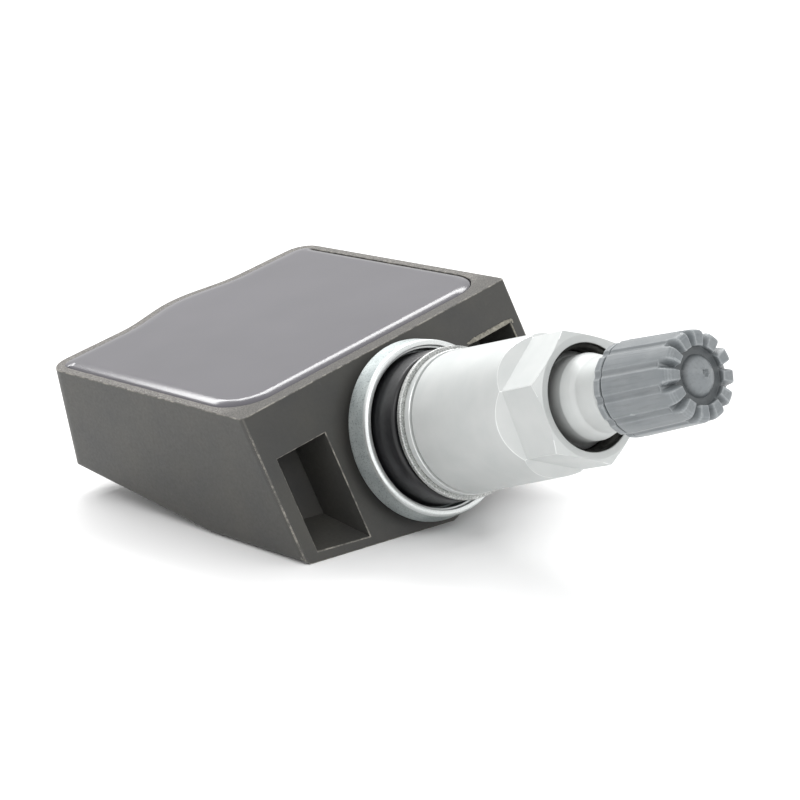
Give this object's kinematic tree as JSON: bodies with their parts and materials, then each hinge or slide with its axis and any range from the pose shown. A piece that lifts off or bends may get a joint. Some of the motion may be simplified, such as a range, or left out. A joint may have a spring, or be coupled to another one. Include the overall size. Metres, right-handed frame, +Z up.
{
  "type": "tyre pressure sensor",
  "caption": "Tyre pressure sensor with a resin-filled plastic housing and a clamp-in metal valve stem, held by a rubber grommet, washer and hexagon collar nut, with a ribbed valve cap.",
  "frame": {"origin": "middle of the bounding box's bottom face, on the surface that the sensor lies on", "axes": "+Z up; +Y to the back of the housing, so the stem points to -Y, up and a little to -X; the sensor lies on the left facet of its underside"},
  "size_m": [0.0476, 0.0955, 0.0314],
  "materials": {
    "housing_plastic": "matte moulded, glass filled",
    "potting_resin": "gloss, poured",
    "board": "solder mask",
    "cell_can": "satin",
    "nickel_strip": "satin",
    "chip_body": "matte",
    "crystal_can": "satin",
    "ceramic": "matte",
    "ferrite": "matte",
    "copper": "enamelled",
    "brass_strip": "satin",
    "filter_cloth": "matte",
    "stem_metal": "bright turned",
    "cup_plating": "satin, speckled",
    "grommet_rubber": "satin",
    "washer_metal": "satin",
    "nut_metal": "satin anodised",
    "cap_plastic": "satin moulded",
    "gasket_rubber": "matte",
    "core_brass": "bright",
    "core_seal": "matte",
    "spring_steel": "bright"
  },
  "bodies": {
    "sensor": {"housing": "housing_plastic", "potting": "potting_resin", "circuit_board": "board", "battery": "cell_can", "battery_tab_top": "nickel_strip", "battery_tab_bottom": "nickel_strip", "sensor_chip": "chip_body", "radio_chip": "chip_body", "crystal": "crystal_can", "capacitors": "ceramic", "wake_coil_core": "ferrite", "wake_coil_winding": "copper", "antenna_strap": "brass_strip", "port_filter": "filter_cloth", "valve_stem": "stem_metal", "seal_cup": "cup_plating", "rubber_grommet": "grommet_rubber", "core_barrel": "core_brass", "core_gasket": "core_seal", "core_spring": "spring_steel"},
    "washer": {"nut_washer": "washer_metal"},
    "nut": {"collar_nut": "nut_metal"},
    "gasket": {"cap_gasket": "gasket_rubber"},
    "cap": {"valve_cap": "cap_plastic"},
    "pin": {"core_pin": "core_brass", "core_seat": "gasket_rubber"}
  },
  "joints": [
    {"name": "nut_lift", "type": "slide", "parent": "sensor", "child": "washer", "axis": [-0.0624, -0.9489, 0.3094], "range_m": [-0.0005, 0.018]},
    {"name": "nut_turn", "type": "hinge", "parent": "washer", "child": "nut", "pos_m": [-0.00008, -0.00751, 0.01419], "axis": [-0.0624, -0.9489, 0.3094], "range_deg": [-181, 6481]},
    {"name": "cap_lift", "type": "slide", "parent": "sensor", "child": "gasket", "axis": [-0.0624, -0.9489, 0.3094], "range_m": [0, 0.00953]},
    {"name": "cap_turn", "type": "hinge", "parent": "gasket", "child": "cap", "pos_m": [-0.00193, -0.03555, 0.02333], "axis": [-0.0624, -0.9489, 0.3094], "range_deg": [0, 4321]},
    {"name": "pin_push", "type": "slide", "parent": "sensor", "child": "pin", "axis": [0.0624, 0.9489, -0.3094], "range_m": [0, 0.0012], "stiffness_N_per_m": 400, "springref_m": -0.001, "deforming": ["core_spring"]}
  ],
  "couplings": [
    {"joint": "nut_turn", "follows": "nut_lift", "rad_per_m": 6283.2},
    {"joint": "cap_turn", "follows": "cap_lift", "rad_per_m": 7915.8}
  ]
}
